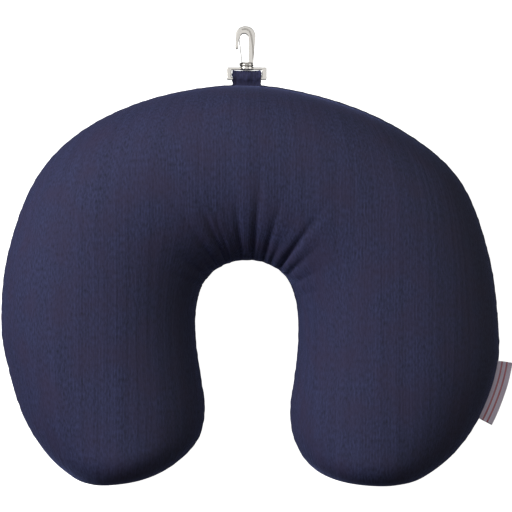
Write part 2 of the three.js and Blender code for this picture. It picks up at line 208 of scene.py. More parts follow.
def panel_mesh(name, rings, flats):
    """A closed mesh from rings of points. Its UV map, in metres, is each panel's flat pattern."""
    sections, sides = rings.shape[:2]
    half = sides // 2
    points = [rings[0, 0], *rings[1:-1].reshape(-1, 3), rings[-1, 0]]
    faces, uvs = [], []

    def corner(i, j):
        if i == 0:
            return 0
        if i == sections - 1:
            return len(points) - 1
        return 1 + (i - 1) * sides + j % sides

    def pattern(i, j, panel):
        across = j if panel == 0 else j - half
        return flats[i, panel, across]

    for j in range(sides):
        panel = 0 if j < half else 1
        for i in range(sections - 1):
            wanted = [(i, j), (i + 1, j), (i + 1, j + 1), (i, j + 1)]
            if i == 0:
                wanted = [(0, j), (1, j), (1, j + 1)]
            if i == sections - 2:
                wanted = [(i, j), (i + 1, j), (i, j + 1)]
            faces.append([corner(*w) for w in wanted])
            uvs.extend(pattern(*w, panel) for w in wanted)
    mesh = bpy.data.meshes.new(name)
    mesh.from_pydata([tuple(p) for p in points], [], faces)
    layer = mesh.uv_layers.new(name="cloth")
    layer.data.foreach_set("uv", np.array(uvs, np.float32).ravel())
    mesh.shade_smooth()
    return linked(name, mesh)


# %% [markdown]
# ## Creases
# Cloth can't be sewn round so tight a bend as the neck's without some to spare. The spare cloth
# stands in radial creases that start at the inner seam and fade out over the top. Wider and much
# shallower folds run on from them to the tab.
# Each crease is a row: its direction round the bend, its depth, its width, and how far it runs.
# They are drawn into the starting shape, so that the simulated cloth has that much length to lose.

# %% Draw the creases
BEND = np.array([AXIS_X, DRAWING_Y - 17 * MM])
CREASES = [  # direction in degrees from the axis, then depth, width and length in mm
    (-78, 1.2, 3.6, 34), (-62, 1.4, 3.0, 40), (-50, 2.0, 3.2, 48), (-41, 1.6, 2.4, 38),
    (-33, 2.6, 2.6, 56), (-28, 1.4, 1.9, 36), (-22.8, 3.4, 2.3, 68), (-18, 2.4, 2.0, 62),
    (-11.5, 1.4, 2.0, 44), (-5.6, 2.8, 2.3, 68), (-0.5, 1.2, 1.8, 40), (6, 3.8, 2.4, 72),
    (11.8, 1.6, 2.0, 46), (17.4, 3.0, 2.4, 62), (26, 1.6, 2.2, 42), (36.5, 4.0, 2.6, 66),
    (47.5, 2.2, 2.8, 46), (60, 1.6, 3.2, 42), (74, 1.2, 3.6, 36),
]
BRIDGE_FOLDS = [
    (-14, 0.8, 6, 165), (-7, 0.9, 5, 175), (3, 0.8, 5, 180), (11, 0.9, 6, 170), (21, 0.7, 7, 150),
]

PANEL_SHIFT = 2.5  # degrees at most, so that the underside's creases don't mirror the top's
SHOULDER = 0.45  # the cloth beside a crease stands up by so much of its depth
SHOULDER_WIDTH = 2.2
WIDENING = 0.012  # a crease opens by so much with each mm that it runs
SEAM_CLEAR = 3 * MM
DEEPENING = 15 * MM
FADE = 0.9  # of the crease's length


def grid_normals(rings):
    """Outward normals of a grid of rings."""
    along = np.gradient(rings, axis=0)
    across = np.roll(rings, -1, axis=1) - np.roll(rings, 1, axis=1)
    normals = np.cross(along, across)
    return normals / np.maximum(np.linalg.norm(normals, axis=2, keepdims=True), 1e-12)


def from_seam(rings, seam):
    """Each point's distance from one seam, along its section. Seam 0 is the outer one."""
    steps = np.linalg.norm(np.roll(rings, -1, axis=1) - rings, axis=2)
    run = np.concatenate([np.zeros((len(rings), 1)), np.cumsum(steps, axis=1)], axis=1)
    if seam == 0:
        return np.minimum(run, run[:, -1:] - run)[:, :-1]
    return np.abs(run - run[:, rings.shape[1] // 2, None])[:, :-1]


def creased(rings, rows, widths, depths):
    """The rings with creases pressed in, on both panels. Widths and depths are shares."""
    half = rings.shape[1] // 2
    plan = rings[:, :, :2] - BEND
    away = np.linalg.norm(plan, axis=2)
    turn = np.degrees(np.arctan2(plan[:, :, 0], plan[:, :, 1]))
    run = from_seam(rings, 1)
    depth = np.zeros(run.shape)
    for panel, side in enumerate((slice(0, half), slice(half, 2 * half))):
        for number, (direction, deep, wide, reach) in enumerate(rows):
            towards = direction + panel * PANEL_SHIFT * math.sin(3 * number)
            beside = np.radians(turn[:, side] - towards) * away[:, side]
            spread = widths * wide * MM * (1 + WIDENING * run[:, side] / MM)
            valley = np.exp(-((beside / spread) ** 2))
            valley -= SHOULDER * np.exp(-((beside / spread / SHOULDER_WIDTH) ** 2))
            start = np.clip((run[:, side] - SEAM_CLEAR) / DEEPENING, 0, 1)
            fade = np.exp(-((run[:, side] / (FADE * reach * MM)) ** 3))
            depth[:, side] += depths * deep * MM * valley * start * fade
    return rings - grid_normals(rings) * depth[:, :, None]


smooth_shape = shape
shape = creased(shape, CREASES, widths=0.75, depths=0.8)
shape = creased(shape, BRIDGE_FOLDS, widths=1, depths=1)
deepest = float(np.linalg.norm(shape - smooth_shape, axis=2).max())
print(f"{len(CREASES)} creases, the deepest {deepest / MM:.1f} mm")

# %% [markdown]
# ## Filling it
# Pressure from the beads tightens the cover across the pillow, which pulls each crease straight
# and leaves it standing along the bend.
# The cloth simulation does just that: the seams are held, the pressure is on and gravity is off.

# %% Simulate the filling
FILL_FRAMES = 20
MOST_SWELL = 6 * MM


def filled(rings, flats):
    """The rings after the cloth has been filled, and the furthest that a point went."""
    cloth = panel_mesh("filling", rings, flats)
    sides = rings.shape[1]
    numbers = 1 + np.arange((len(rings) - 2) * sides).reshape(-1, sides)
    held = cloth.vertex_groups.new(name="held")
    for j in (0, sides // 2):
        held.add([int(n) for n in numbers[:, j]], 1.0, "REPLACE")
    held.add([0, len(cloth.data.vertices) - 1], 1.0, "REPLACE")
    modifier = cloth.modifiers.new("Filling", "CLOTH")
    settings = modifier.settings
    settings.quality = 5
    settings.mass = 0.2
    settings.tension_stiffness = 60
    settings.compression_stiffness = 60
    settings.shear_stiffness = 12
    settings.bending_stiffness = 0.01
    settings.air_damping = 3
    settings.use_pressure = True
    settings.uniform_pressure_force = 3
    settings.vertex_group_mass = "held"
    settings.pin_stiffness = 1
    settings.effector_weights.gravity = 0
    modifier.point_cache.frame_end = FILL_FRAMES
    for number in range(1, FILL_FRAMES + 1):
        bpy.context.scene.frame_set(number)
    shaped = cloth.evaluated_get(bpy.context.evaluated_depsgraph_get())
    moved = np.zeros(len(cloth.data.vertices) * 3)
    shaped.data.vertices.foreach_get("co", moved)
    bpy.context.scene.frame_set(1)
    bpy.data.objects.remove(cloth)
    swell = np.zeros(rings.shape)
    swell[1:-1] = moved.reshape(-1, 3)[1:-1].reshape(-1, sides, 3) - rings[1:-1]
    length = np.linalg.norm(swell, axis=2, keepdims=True)
    return rings + swell * np.minimum(1, MOST_SWELL / np.maximum(length, 1e-9)), float(length.max())


shape, most = filled(shape, patterns)
print(f"the filling moved the cloth by up to {most / MM:.1f} mm")
shape[:, :, 2] = np.maximum(shape[:, :, 2], 0)

# %% [markdown]
# ## The seam
# The grid is read again at twice the detail, with extra rings close to the seams.
# The sewing pulls the two panels' edges inwards, so a narrow groove runs all the way round. The
# cloth beside it puckers a little, unevenly, and the creases come to a sharp bottom.

# %% Make the cushion
NEAR_SEAM = np.array([0, 0.1, 0.22, 0.4, 0.65])
GROOVE_DEPTH = 1.7 * MM
GROOVE_WIDTH = 1.0 * MM
PUCKERS = [(6.3, 0.0), (8.9, 1.9), (13.7, 4.1)]  # wavelength in mm, phase
PUCKER_DEPTH = 0.08 * MM
PUCKER_REACH = 8 * MM
PUCKER_START = 1.5 * MM
LIP = 1.1 * MM  # the lower panel bellies out past the outer seam
LIP_WIDTH = 3.2 * MM
CHAMFER = 1.1 * MM  # and the upper panel is drawn in above it
CHAMFER_WIDTH = 5 * MM

panel_places = np.concatenate(
    [NEAR_SEAM, np.arange(1, HALF_SIDES - 0.9, 0.5), HALF_SIDES - NEAR_SEAM[::-1]]
)
station_places = np.arange(0, len(shape) - 0.9, 0.5)


def detailed(rings, flats):
    """Rings and patterns at the finer places."""
    round_places = np.concatenate([panel_places[:-1], HALF_SIDES + panel_places[:-1]])
    rings = read_at(rings, station_places, closed=False)
    rings = read_at(rings.transpose(1, 0, 2), round_places, closed=True).transpose(1, 0, 2)
    flats = read_at(flats, station_places, closed=False)
    flats = read_at(flats.transpose(2, 0, 1, 3), panel_places, closed=False)
    return rings, flats.transpose(1, 2, 0, 3)


def sewn(rings):
    """The rings with the seam's groove and puckers."""
    half = rings.shape[1] // 2
    depth = np.zeros(rings.shape[:2])
    for seam in (0, 1):
        edge = rings[:, seam * half]
        run = from_seam(rings, seam)
        steps = np.linalg.norm(np.diff(edge, axis=0), axis=1)
        along = np.concatenate([[0], np.cumsum(steps)]) / MM
        pucker = sum(np.sin(2 * math.pi * along / length + phase) for length, phase in PUCKERS)
        beside = np.exp(-((run / PUCKER_REACH) ** 2)) * np.clip(run / PUCKER_START, 0, 1)
        depth += PUCKER_DEPTH * pucker[:, None] * beside
        depth += GROOVE_DEPTH * np.exp(-run / GROOVE_WIDTH)
        if seam == 0:
            belly = run[:, half:] / LIP_WIDTH
            depth[:, half:] -= LIP * belly * np.exp(1 - belly)
            depth[:, :half] += CHAMFER * np.exp(-run[:, :half] / CHAMFER_WIDTH)
    return rings - grid_normals(rings) * depth[:, :, None]


shape, patterns = detailed(shape, patterns)
shape = creased(shape, CREASES, widths=0.4, depths=0.45)
shape = sewn(shape)
shape[:, :, 2] = np.maximum(shape[:, :, 2], 0)
cushion = panel_mesh("knit_cushion", shape, patterns)
PAINTED_SHADE_REACH = 1.3 * MM  # painted shade: the knit at the bottom of the groove is darkened, where the groove lies in shade
nearest = np.minimum(from_seam(shape, 0), from_seam(shape, 1))
shade = cushion.data.attributes.new("painted_seam_shade", "FLOAT", "POINT")
shade_values = np.exp(-((nearest / PAINTED_SHADE_REACH) ** 2))
shade.data.foreach_set("value", np.concatenate([[1], shade_values[1:-1].ravel(), [1]]))
print(len(cushion.data.polygons), "faces")

# %% [markdown]
# ## Materials
# Four small helpers come first. Colours are read from sRGB hex, every node is added by one function
# that takes its inputs as values or as links, and another gives a piece its material and its place.
#
# The knit is fine ribs, called wales, that run straight up the panel that was cut, so they bow
# over the shoulders of the stuffed pillow. Some wales are looser than others and catch more light.
# Flecks of lighter yarn break them up.

# %% Knit material


def linear(hex_colour):
    """An sRGB hex colour as the linear values that Blender's sockets take."""
    channels = [int(hex_colour[i : i + 2], 16) / 255 for i in (1, 3, 5)]
    made = [c / 12.92 if c <= 0.04045 else ((c + 0.055) / 1.055) ** 2.4 for c in channels]
    return [*made, 1.0]


def add_node(tree, kind, inputs=None, **settings):
    """Adds a node. Inputs are values, or sockets to link from; settings are its own options."""
    node = tree.nodes.new(kind)
    for name, value in settings.items():
        setattr(node, name, value)
    for name, value in (inputs or {}).items():
        if isinstance(value, bpy.types.NodeSocket):
            tree.links.new(value, node.inputs[name])
        else:
            node.inputs[name].default_value = value
    return node


def new_material(name, shader_inputs):
    """A material with an empty tree but for its output and its Principled shader."""
    material = bpy.data.materials.new(name)
    material.use_nodes = True
    shader = material.node_tree.nodes["Principled BSDF"]
    for name, value in shader_inputs.items():
        shader.inputs[name].default_value = value
    return material, material.node_tree, shader


def dressed(piece, material, slot, body, *nodes):
    """Gives a finished piece its material and its place under its body."""
    piece.data.materials.clear()
    piece.data.materials.append(material)
    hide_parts(*nodes)
    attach(piece, body)


WALE = 0.95 * MM  # real wales are about 0.5 mm apart, so these are drawn a little coarse
YARN_FLECK = 1.2 * MM
LOOSE_WALES = 5 * MM  # groups of wales that stand a little apart
MOTTLE = 26 * MM  # clouds of uneven dye
BLENDER_WAVE = 2 * math.pi / 20  # the Wave texture's own wavelength at scale 1


def navy_knit():
    """Polyester and elastane jersey, dyed navy."""
    material, tree, shader = new_material(
        "navy_stretch_knit",
        {"Roughness": 0.82, "Specular IOR Level": 0.25, "Sheen Weight": 0.45,
         "Sheen Roughness": 0.28, "Sheen Tint": linear("#8d9ade")},
    )
    uv = add_node(tree, "ShaderNodeUVMap", uv_map="cloth").outputs["UV"]
    wales = add_node(
        tree, "ShaderNodeTexWave",
        {"Vector": uv, "Scale": BLENDER_WAVE / WALE, "Distortion": 1.6, "Detail": 2.0,
         "Detail Scale": 0.3},
        wave_type="BANDS", bands_direction="X",
    ).outputs["Fac"]
    stretched = add_node(tree, "ShaderNodeMapping", {"Vector": uv, "Scale": (1, 0.4, 1)})
    fleck = add_node(
        tree, "ShaderNodeTexNoise",
        {"Vector": stretched.outputs["Vector"], "Scale": 1 / YARN_FLECK, "Detail": 2.0},
    ).outputs["Fac"]
    striped = add_node(tree, "ShaderNodeMapping", {"Vector": uv, "Scale": (1, 0.03, 1)})
    loose = add_node(
        tree, "ShaderNodeTexNoise",
        {"Vector": striped.outputs["Vector"], "Scale": 1 / LOOSE_WALES, "Detail": 3.0},
    ).outputs["Fac"]
    mottle = add_node(
        tree, "ShaderNodeTexNoise", {"Vector": uv, "Scale": 1 / MOTTLE, "Detail": 3.0}
    ).outputs["Fac"]
    ribs = add_node(
        tree, "ShaderNodeMapRange", {"Value": wales, "To Min": 0.45}
    ).outputs["Result"]
    grain = add_node(tree, "ShaderNodeMath", {0: ribs, 1: fleck}, operation="MULTIPLY")
    light = add_node(
        tree, "ShaderNodeMapRange",
        {"Value": grain.outputs["Value"], "From Min": 0.1, "From Max": 0.58, "To Max": 0.9},
    ).outputs["Result"]
    banded = add_node(
        tree, "ShaderNodeMapRange",
        {"Value": loose, "From Min": 0.35, "From Max": 0.68, "To Max": 0.14},
    ).outputs["Result"]
    share = add_node(tree, "ShaderNodeMath", {0: light, 1: banded}, operation="ADD")
    share.use_clamp = True
    yarn = add_node(
        tree, "ShaderNodeMix",
        {"Factor": share.outputs["Value"], "A": linear("#111222"), "B": linear("#3d4068")},
        data_type="RGBA",
    )
    warm = add_node(
        tree, "ShaderNodeMapRange",
        {"Value": mottle, "From Min": 0.42, "From Max": 0.66, "To Max": 0.5},
    ).outputs["Result"]
    colour = add_node(
        tree, "ShaderNodeMix",
        {"Factor": warm, "A": yarn.outputs["Result"], "B": linear("#352d48")},
        data_type="RGBA",
    )
    # painted shade: the colour is mixed towards near-black along both seams
    seam = add_node(tree, "ShaderNodeAttribute", attribute_name="painted_seam_shade").outputs["Fac"]
    with_seam_shade = add_node(
        tree, "ShaderNodeMix",
        {"Factor": seam, "A": colour.outputs["Result"], "B": linear("#0c0c14")},
        data_type="RGBA",
    )
    tree.links.new(with_seam_shade.outputs["Result"], shader.inputs["Base Color"])
    relief = add_node(
        tree, "ShaderNodeMath", {0: grain.outputs["Value"], 1: banded}, operation="ADD"
    )
    bump = add_node(
        tree, "ShaderNodeBump",
        {"Height": relief.outputs["Value"], "Strength": 0.8, "Distance": 0.25 * MM},
    )
    folds = add_node(
        tree, "ShaderNodeBump",
        {"Height": loose, "Strength": 0.6, "Distance": 0.9 * MM, "Normal": bump.outputs["Normal"]},
    )
    tree.links.new(folds.outputs["Normal"], shader.inputs["Normal"])
    return material


KNIT = navy_knit()
dressed(
    cushion, KNIT, "knit_cover", "pillow",
    "upper_cover_panel", "lower_cover_panel", "upper_lining_panel", "lower_lining_panel",
    "bead_fill",
)
print("cushion box, mm:", in_mm((shape.min((0, 1)), shape.max((0, 1)))))

# %% [markdown]
# ## Thread and metal
# The thread is a twisted polyester. The ring and the hook are zinc castings, polished and nickel
# plated; the leaf is thinner stamped steel. Casting leaves the plating's gloss slightly uneven.

# %% Thread and metal materials
GLOSS_PATCH = 4 * MM
FINE_SCRATCH = 0.6 * MM


def plated(name, colour, roughness):
    """A plated metal, with gloss that changes a little from place to place."""
    material, tree, shader = new_material(name, {"Base Color": linear(colour), "Metallic": 1.0})
    place = add_node(tree, "ShaderNodeTexCoord").outputs["Object"]
    patches = add_node(
        tree, "ShaderNodeTexNoise", {"Vector": place, "Scale": 1 / GLOSS_PATCH, "Detail": 4.0}
    ).outputs["Fac"]
    gloss = add_node(
        tree, "ShaderNodeMapRange",
        {"Value": patches, "To Min": roughness * 0.7, "To Max": roughness * 1.4},
    )
    tree.links.new(gloss.outputs["Result"], shader.inputs["Roughness"])
    scratches = add_node(
        tree, "ShaderNodeTexNoise", {"Vector": place, "Scale": 1 / FINE_SCRATCH, "Detail": 2.0}
    ).outputs["Fac"]
    bump = add_node(
        tree, "ShaderNodeBump", {"Height": scratches, "Strength": 0.15, "Distance": 0.02 * MM}
    )
    tree.links.new(bump.outputs["Normal"], shader.inputs["Normal"])
    return material


NICKEL = plated("bright_nickel", "#c4c1bc", 0.3)  # plated zinc casting
SPRING_STEEL = plated("spring_steel", "#b4b3b1", 0.28)  # stamped and plated leaf
THREAD, _, _ = new_material(
    "navy_polyester_thread",
    {"Base Color": linear("#15162c"), "Roughness": 0.6, "Sheen Weight": 0.2},
)
print("metals and thread ready")

# %% [markdown]
# ## The seam's stitches
# A few of the stitches show at the bottom of the groove, where the sewing bridges the two panels.
# They are made with Geometry Nodes: a line along the seam, points spread on it, and one short
# stitch on each point. The tree takes the stitch's length and the spacing as named inputs.

# %% Sew the stitches


def line_mesh(name, points, closed):
    """A mesh of edges through points."""
    mesh = bpy.data.meshes.new(name)
    edges = [(i, i + 1) for i in range(len(points) - 1)]
    if closed:
        edges.append((len(points) - 1, 0))
    mesh.from_pydata([tuple(p) for p in points], edges, [])
    return linked(name, mesh)


def add_input(tree, name, kind, value):
    """One named input of a Geometry Nodes tree."""
    socket = tree.interface.new_socket(name, in_out="INPUT", socket_type=kind)
    socket.default_value = value


def stitch_tree(material):
    """Short stitches, spread along the edges of the mesh that it is given."""
    tree = bpy.data.node_groups.new("stitches", "GeometryNodeTree")
    tree.interface.new_socket("Geometry", in_out="INPUT", socket_type="NodeSocketGeometry")
    add_input(tree, "Spacing", "NodeSocketFloat", 3.0 * MM)
    add_input(tree, "Length", "NodeSocketFloat", 2.2 * MM)
    add_input(tree, "Radius", "NodeSocketFloat", 0.3 * MM)
    add_input(tree, "Turn", "NodeSocketFloat", 0.3)
    tree.interface.new_socket("Geometry", in_out="OUTPUT", socket_type="NodeSocketGeometry")
    given = add_node(tree, "NodeGroupInput").outputs
    route = add_node(tree, "GeometryNodeMeshToCurve", {"Mesh": given["Geometry"]})
    spread = add_node(
        tree, "GeometryNodeCurveToPoints",
        {"Curve": route.outputs["Curve"], "Length": given["Spacing"]},
        mode="LENGTH",
    ).outputs
    ends = []
    for share in (-0.5, 0.5):
        z = add_node(tree, "ShaderNodeMath", {0: given["Length"], 1: share}, operation="MULTIPLY")
        ends.append(add_node(tree, "ShaderNodeCombineXYZ", {"Z": z.outputs["Value"]}))
    up = add_node(tree, "ShaderNodeCombineXYZ", {"X": given["Radius"]})
    arc = add_node(
        tree, "GeometryNodeCurveArc",
        {"Start": ends[0].outputs["Vector"], "Middle": up.outputs["Vector"],
         "End": ends[1].outputs["Vector"], "Resolution": 6},
        mode="POINTS",
    )
    ring = add_node(
        tree, "GeometryNodeCurvePrimitiveCircle", {"Radius": given["Radius"], "Resolution": 6}
    )
    stitch = add_node(
        tree, "GeometryNodeCurveToMesh",
        {"Curve": arc.outputs["Curve"], "Profile Curve": ring.outputs["Curve"], "Fill Caps": True},
    )
    most = add_node(tree, "ShaderNodeMath", {0: given["Turn"], 1: -1.0}, operation="MULTIPLY")
    turn = add_node(
        tree, "FunctionNodeRandomValue",
        {2: most.outputs["Value"], 3: given["Turn"], "Seed": 7}, data_type="FLOAT",
    )
    twist = add_node(tree, "ShaderNodeCombineXYZ", {"Z": turn.outputs[1]})
    placed = add_node(
        tree, "GeometryNodeInstanceOnPoints",
        {"Points": spread["Points"], "Instance": stitch.outputs["Mesh"],
         "Rotation": spread["Rotation"]},
    )
    turned = add_node(
        tree, "GeometryNodeRotateInstances",
        {"Instances": placed.outputs["Instances"], "Rotation": twist.outputs["Vector"]},
    )
    real = add_node(tree, "GeometryNodeRealizeInstances", {"Geometry": turned.outputs["Instances"]})
    made = add_node(
        tree, "GeometryNodeSetMaterial",
        {"Geometry": real.outputs["Geometry"], "Material": material},
    )
    add_node(tree, "NodeGroupOutput", {"Geometry": made.outputs["Geometry"]})
    return tree


def grown(name, route, tree, values):
    """A plain mesh of what a Geometry Nodes tree makes along a route."""
    modifier = route.modifiers.new("made", "NODES")
    modifier.node_group = tree
    for item in tree.interface.items_tree:
        if item.in_out == "INPUT" and item.name in values:
            modifier[item.identifier] = values[item.name]
    seen = route.evaluated_get(bpy.context.evaluated_depsgraph_get())
    mesh = bpy.data.meshes.new_from_object(seen)
    bpy.data.objects.remove(route)
    mesh.name = name
    return linked(name, mesh)


half_ring = shape.shape[1] // 2
groove_bottom = np.concatenate([shape[1:-1, 0], shape[-2:0:-1, half_ring]])
seam_route = line_mesh("seam_route", groove_bottom, closed=True)
stitches = grown(
    "seam_stitches", seam_route, stitch_tree(THREAD),
    {"Spacing": 3.1 * MM, "Length": 2.3 * MM, "Radius": 0.3 * MM, "Turn": 0.3},
)
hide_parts("seam_thread")
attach(stitches, "pillow")
print(len(stitches.data.polygons), "faces of stitching")

# %% [markdown]
# ## Strips of cloth
# The tab and the label are both a strip, folded once, with its cut ends inside the seam. One
# function gives thickness to a sheet of points: its front, its back, and a wall round the border.

# %% Cut the tab


def cloth_strip(name, middle, thickness):
    """A closed mesh around a grid of points, [along, across]. Thickness is a number or a grid."""
    along, across = np.gradient(middle, axis=0), np.gradient(middle, axis=1)
    normals = np.cross(along, across)
    normals /= np.maximum(np.linalg.norm(normals, axis=2, keepdims=True), 1e-12)
    half = normals * (np.broadcast_to(thickness, middle.shape[:2])[:, :, None] / 2)
    rows, columns = middle.shape[:2]
    points = np.concatenate([(middle + half).reshape(-1, 3), (middle - half).reshape(-1, 3)])
    runs = [
        np.concatenate([[0], np.cumsum(np.linalg.norm(np.diff(line, axis=0), axis=1))])
        for line in (middle[:, columns // 2], middle[rows // 2])
    ]

    def corner(side, i, j):
        return side * rows * columns + i * columns + j

    faces = []
    for i in range(rows - 1):
        for j in range(columns - 1):
            ring = [(i, j), (i + 1, j), (i + 1, j + 1), (i, j + 1)]
            faces.append([corner(0, *c) for c in ring])
            faces.append([corner(1, *c) for c in reversed(ring)])
    border = [(i, 0) for i in range(rows - 1)]
    border += [(rows - 1, j) for j in range(columns - 1)]
    border += [(i, columns - 1) for i in range(rows - 1, 0, -1)]
    border += [(0, j) for j in range(columns - 1, 0, -1)]
    for here, after in zip(border, border[1:] + border[:1]):
        faces.append([corner(0, *after), corner(0, *here), corner(1, *here), corner(1, *after)])
    mesh = bpy.data.meshes.new(name)
    mesh.from_pydata([tuple(p) for p in points], [], faces)
    layer = mesh.uv_layers.new(name="cloth")
    for loop in mesh.loops:
        i, j = divmod(loop.vertex_index % (rows * columns), columns)
        layer.data[loop.index].uv = (runs[0][i], runs[1][j])
    mesh.shade_smooth()
    return linked(name, mesh)


ring_low, ring_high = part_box("strap_ring")
BAR_RADIUS = 0.9 * MM
BAR = Vector((AXIS_X, ring_low.y + BAR_RADIUS, (ring_low.z + ring_high.z) / 2))
TAB_LOOP = [  # out from the bar, and up, in mm: the tab's middle line, from seam to seam
    (-5.3, -0.5), (-4, -0.52), (-2.2, -1.2), (-0.2, -2.35), (2.2, -2.5), (4.2, -1.6),
    (4.75, 0), (4.2, 1.6), (2.2, 2.5), (-0.2, 2.35), (-2.2, 1.2), (-4, 0.52), (-5.3, 0.5),
]
TAB_CLOTH = 0.9 * MM
TAB_STEPS = 56
TAB_HELD = -3.6  # mm out from the bar: nearer the seam than this, the loop is held flat
TAB_OPENING = 3  # mm over which it opens


def folded_tab():
    """The tab's strip, a little uneven: fuller here and there, with edges that aren't straight."""
    loop = smooth_line(np.array(TAB_LOOP, float), 5)
    across = np.linspace(-1, 1, TAB_STEPS + 1)
    grid = np.zeros((TAB_STEPS + 1, len(loop), 3))
    line = np.arange(len(loop)) / (len(loop) - 1)
    for row, x in enumerate(across):
        edge = abs(x) ** 6
        out, up = loop[:, 0].copy(), loop[:, 1].copy()
        free = np.clip((out - TAB_HELD) / TAB_OPENING, 0, 1)
        fuller = 1 + 0.1 * math.sin(5 * x + 1) + 0.06 * math.sin(11 * x)
        up *= 1 + free * (fuller - 1)
        out += free * 0.3 * edge
        ragged = 0.3 * np.sin(17 * line + 3 * x) + 0.2 * np.sin(41 * line + x)
        narrow = 0.27 * np.sin(math.pi * line) ** 2
        half_width = TAB_WIDTH / 2 / MM + 0.1 + ragged * abs(x) - narrow
        grid[row, :, 0] = BAR.x + x * half_width * MM
        grid[row, :, 1] = BAR.y + out * MM
        grid[row, :, 2] = BAR.z + up * MM
    thickness = TAB_CLOTH * (1 + 0.45 * np.abs(across) ** 14)
    return cloth_strip("folded_tab", grid, thickness[:, None])


tab = folded_tab()
dressed(tab, KNIT, "knit_cover", "pillow", "hanging_tab")
print("tab, mm:", [round(v / MM, 1) for v in tab.dimensions])

# %% [markdown]
# ## The label
# A satin ribbon, folded lengthways, follows the seam down the leg. Its two ends are cut, so their
# threads ravel. The maker's woven lettering is replaced by two plain stripes.

# %% Weave the label
label_low, label_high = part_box("side_label")
LABEL_CLOTH = 0.32 * MM
LABEL_STEPS = 60
TUCK = 1.3 * MM
LABEL_REACH = 9.6 * MM
STRIPES = [4.4 * MM, 7.6 * MM]  # out from the ribbon's hidden edge
STRIPE_WIDTH = 1.1 * MM
LABEL_FOLD = 0.28 * MM  # half the thickness of the fold at the ribbon's middle
FLAT_POINTS = 19  # across each leaf of the ribbon


def woven_label():
    """The label's middle surface, [along the seam, across the ribbon]."""
    right = outer_edge[: len(outer_edge) // 2]
    inside = (right[:, 1] > label_low.y + LABEL_REACH / 3) & (right[:, 1] < label_high.y)
    numbers = np.flatnonzero(inside)
    places = np.linspace(numbers[0], numbers[-1], LABEL_STEPS + 1)
    route = read_at(right, places, closed=False)
    along = np.gradient(route, axis=0)
    along /= np.linalg.norm(along, axis=1, keepdims=True)
    outward = np.column_stack([along[:, 1], -along[:, 0]])
    width = LABEL_REACH + TUCK
    angle = np.linspace(-math.pi / 2, math.pi / 2, 9)
    flat = np.linspace(0, width, FLAT_POINTS + 1)[:-1]
    out = np.concatenate([flat, width + LABEL_FOLD * np.cos(angle), flat[::-1]]) - TUCK
    leaf = np.full(FLAT_POINTS, LABEL_FOLD)
    up = np.concatenate([-leaf, LABEL_FOLD * np.sin(angle), leaf])
    share = np.clip(out / width, 0, 1)
    grid = np.zeros((LABEL_STEPS + 1, len(out), 3))
    for row, (place, side) in enumerate(zip(route, outward)):
        t = row / LABEL_STEPS
        wave = 0.7 * math.sin(5.2 * t + 0.6) + 0.35 * math.sin(11 * t)
        curl = 0.9 * math.exp(-t / 0.08) + 0.5 * math.exp(-(1 - t) / 0.06)  # at its two ends
        grid[row, :, :2] = place + out[:, None] * side
        grid[row, :, 2] = SEAM_Z + up * (1 + share) + (wave * share**1.5 + curl * share**2) * MM
    return grid


LABEL_GRID = woven_label()
WARP_RIB = 0.45 * MM


def line_length(points):
    """The length of a line through the points."""
    return float(np.linalg.norm(np.diff(points, axis=0), axis=1).sum())


def ribbon():
    """Woven acetate satin, lilac grey, with two dark red stripes."""
    material, tree, shader = new_material(
        "lilac_grey_satin", {"Roughness": 0.32, "Specular IOR Level": 0.9, "Sheen Weight": 0.5}
    )
    uv = add_node(tree, "ShaderNodeUVMap", uv_map="cloth").outputs["UV"]
    across = add_node(tree, "ShaderNodeSeparateXYZ", {"Vector": uv}).outputs["Y"]
    whole = line_length(LABEL_GRID[LABEL_STEPS // 2])
    striped = None
    for centre in (*STRIPES, *(whole - centre for centre in STRIPES)):
        away = add_node(
            tree, "ShaderNodeMath", {0: across, 1: centre}, operation="SUBTRACT"
        )
        far = add_node(tree, "ShaderNodeMath", {0: away.outputs["Value"]}, operation="ABSOLUTE")
        stripe = add_node(
            tree, "ShaderNodeMath",
            {0: far.outputs["Value"], 1: STRIPE_WIDTH / 2}, operation="LESS_THAN",
        ).outputs["Value"]
        if striped is None:
            striped = stripe
        else:
            both = add_node(tree, "ShaderNodeMath", {0: striped, 1: stripe}, operation="MAXIMUM")
            striped = both.outputs["Value"]
    warp = add_node(
        tree, "ShaderNodeTexWave",
        {"Vector": uv, "Scale": BLENDER_WAVE / WARP_RIB, "Distortion": 1.0},
        wave_type="BANDS", bands_direction="Y",
    ).outputs["Fac"]
    ground = add_node(
        tree, "ShaderNodeMix",
        {"Factor": warp, "A": linear("#e8d0ec"), "B": linear("#fbebfd")}, data_type="RGBA",
    )
    colour = add_node(
        tree, "ShaderNodeMix",
        {"Factor": striped, "A": ground.outputs["Result"], "B": linear("#b8244c")},
        data_type="RGBA",
    )
    tree.links.new(colour.outputs["Result"], shader.inputs["Base Color"])
    bump = add_node(
        tree, "ShaderNodeBump", {"Height": warp, "Strength": 0.4, "Distance": 0.06 * MM}
    )
    tree.links.new(bump.outputs["Normal"], shader.inputs["Normal"])
    return material


SATIN = ribbon()
label = cloth_strip("woven_label", LABEL_GRID, LABEL_CLOTH)
dressed(label, SATIN, "label_satin", "pillow", "side_label")

# %% [markdown]
# ## The label's cut ends
# A cut ribbon loses its last few weft threads, and the warp stands out as a short fringe. The
# stitches' tree makes that too: fine short threads, close together, each turned its own way.

# %% Ravel the label's ends
RAVEL, _, _ = new_material(
    "ravelled_label_thread", {"Base Color": linear("#4a3f4c"), "Roughness": 0.7}
)
IN_SEAM = 6  # grid points of each leaf that lie in the seam, or close to it
for number, row in enumerate((0, -1)):
    end = LABEL_GRID[row, IN_SEAM:-IN_SEAM]
    fringe = grown(
        f"ravelled_end_{number}", line_mesh(f"ravel_route_{number}", end, closed=False),
        stitch_tree(RAVEL),
        {"Spacing": 0.5 * MM, "Length": 0.9 * MM, "Radius": 0.09 * MM, "Turn": 3.1},
    )
    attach(fringe, "pillow")
    print(fringe.name, len(fringe.data.polygons), "faces")

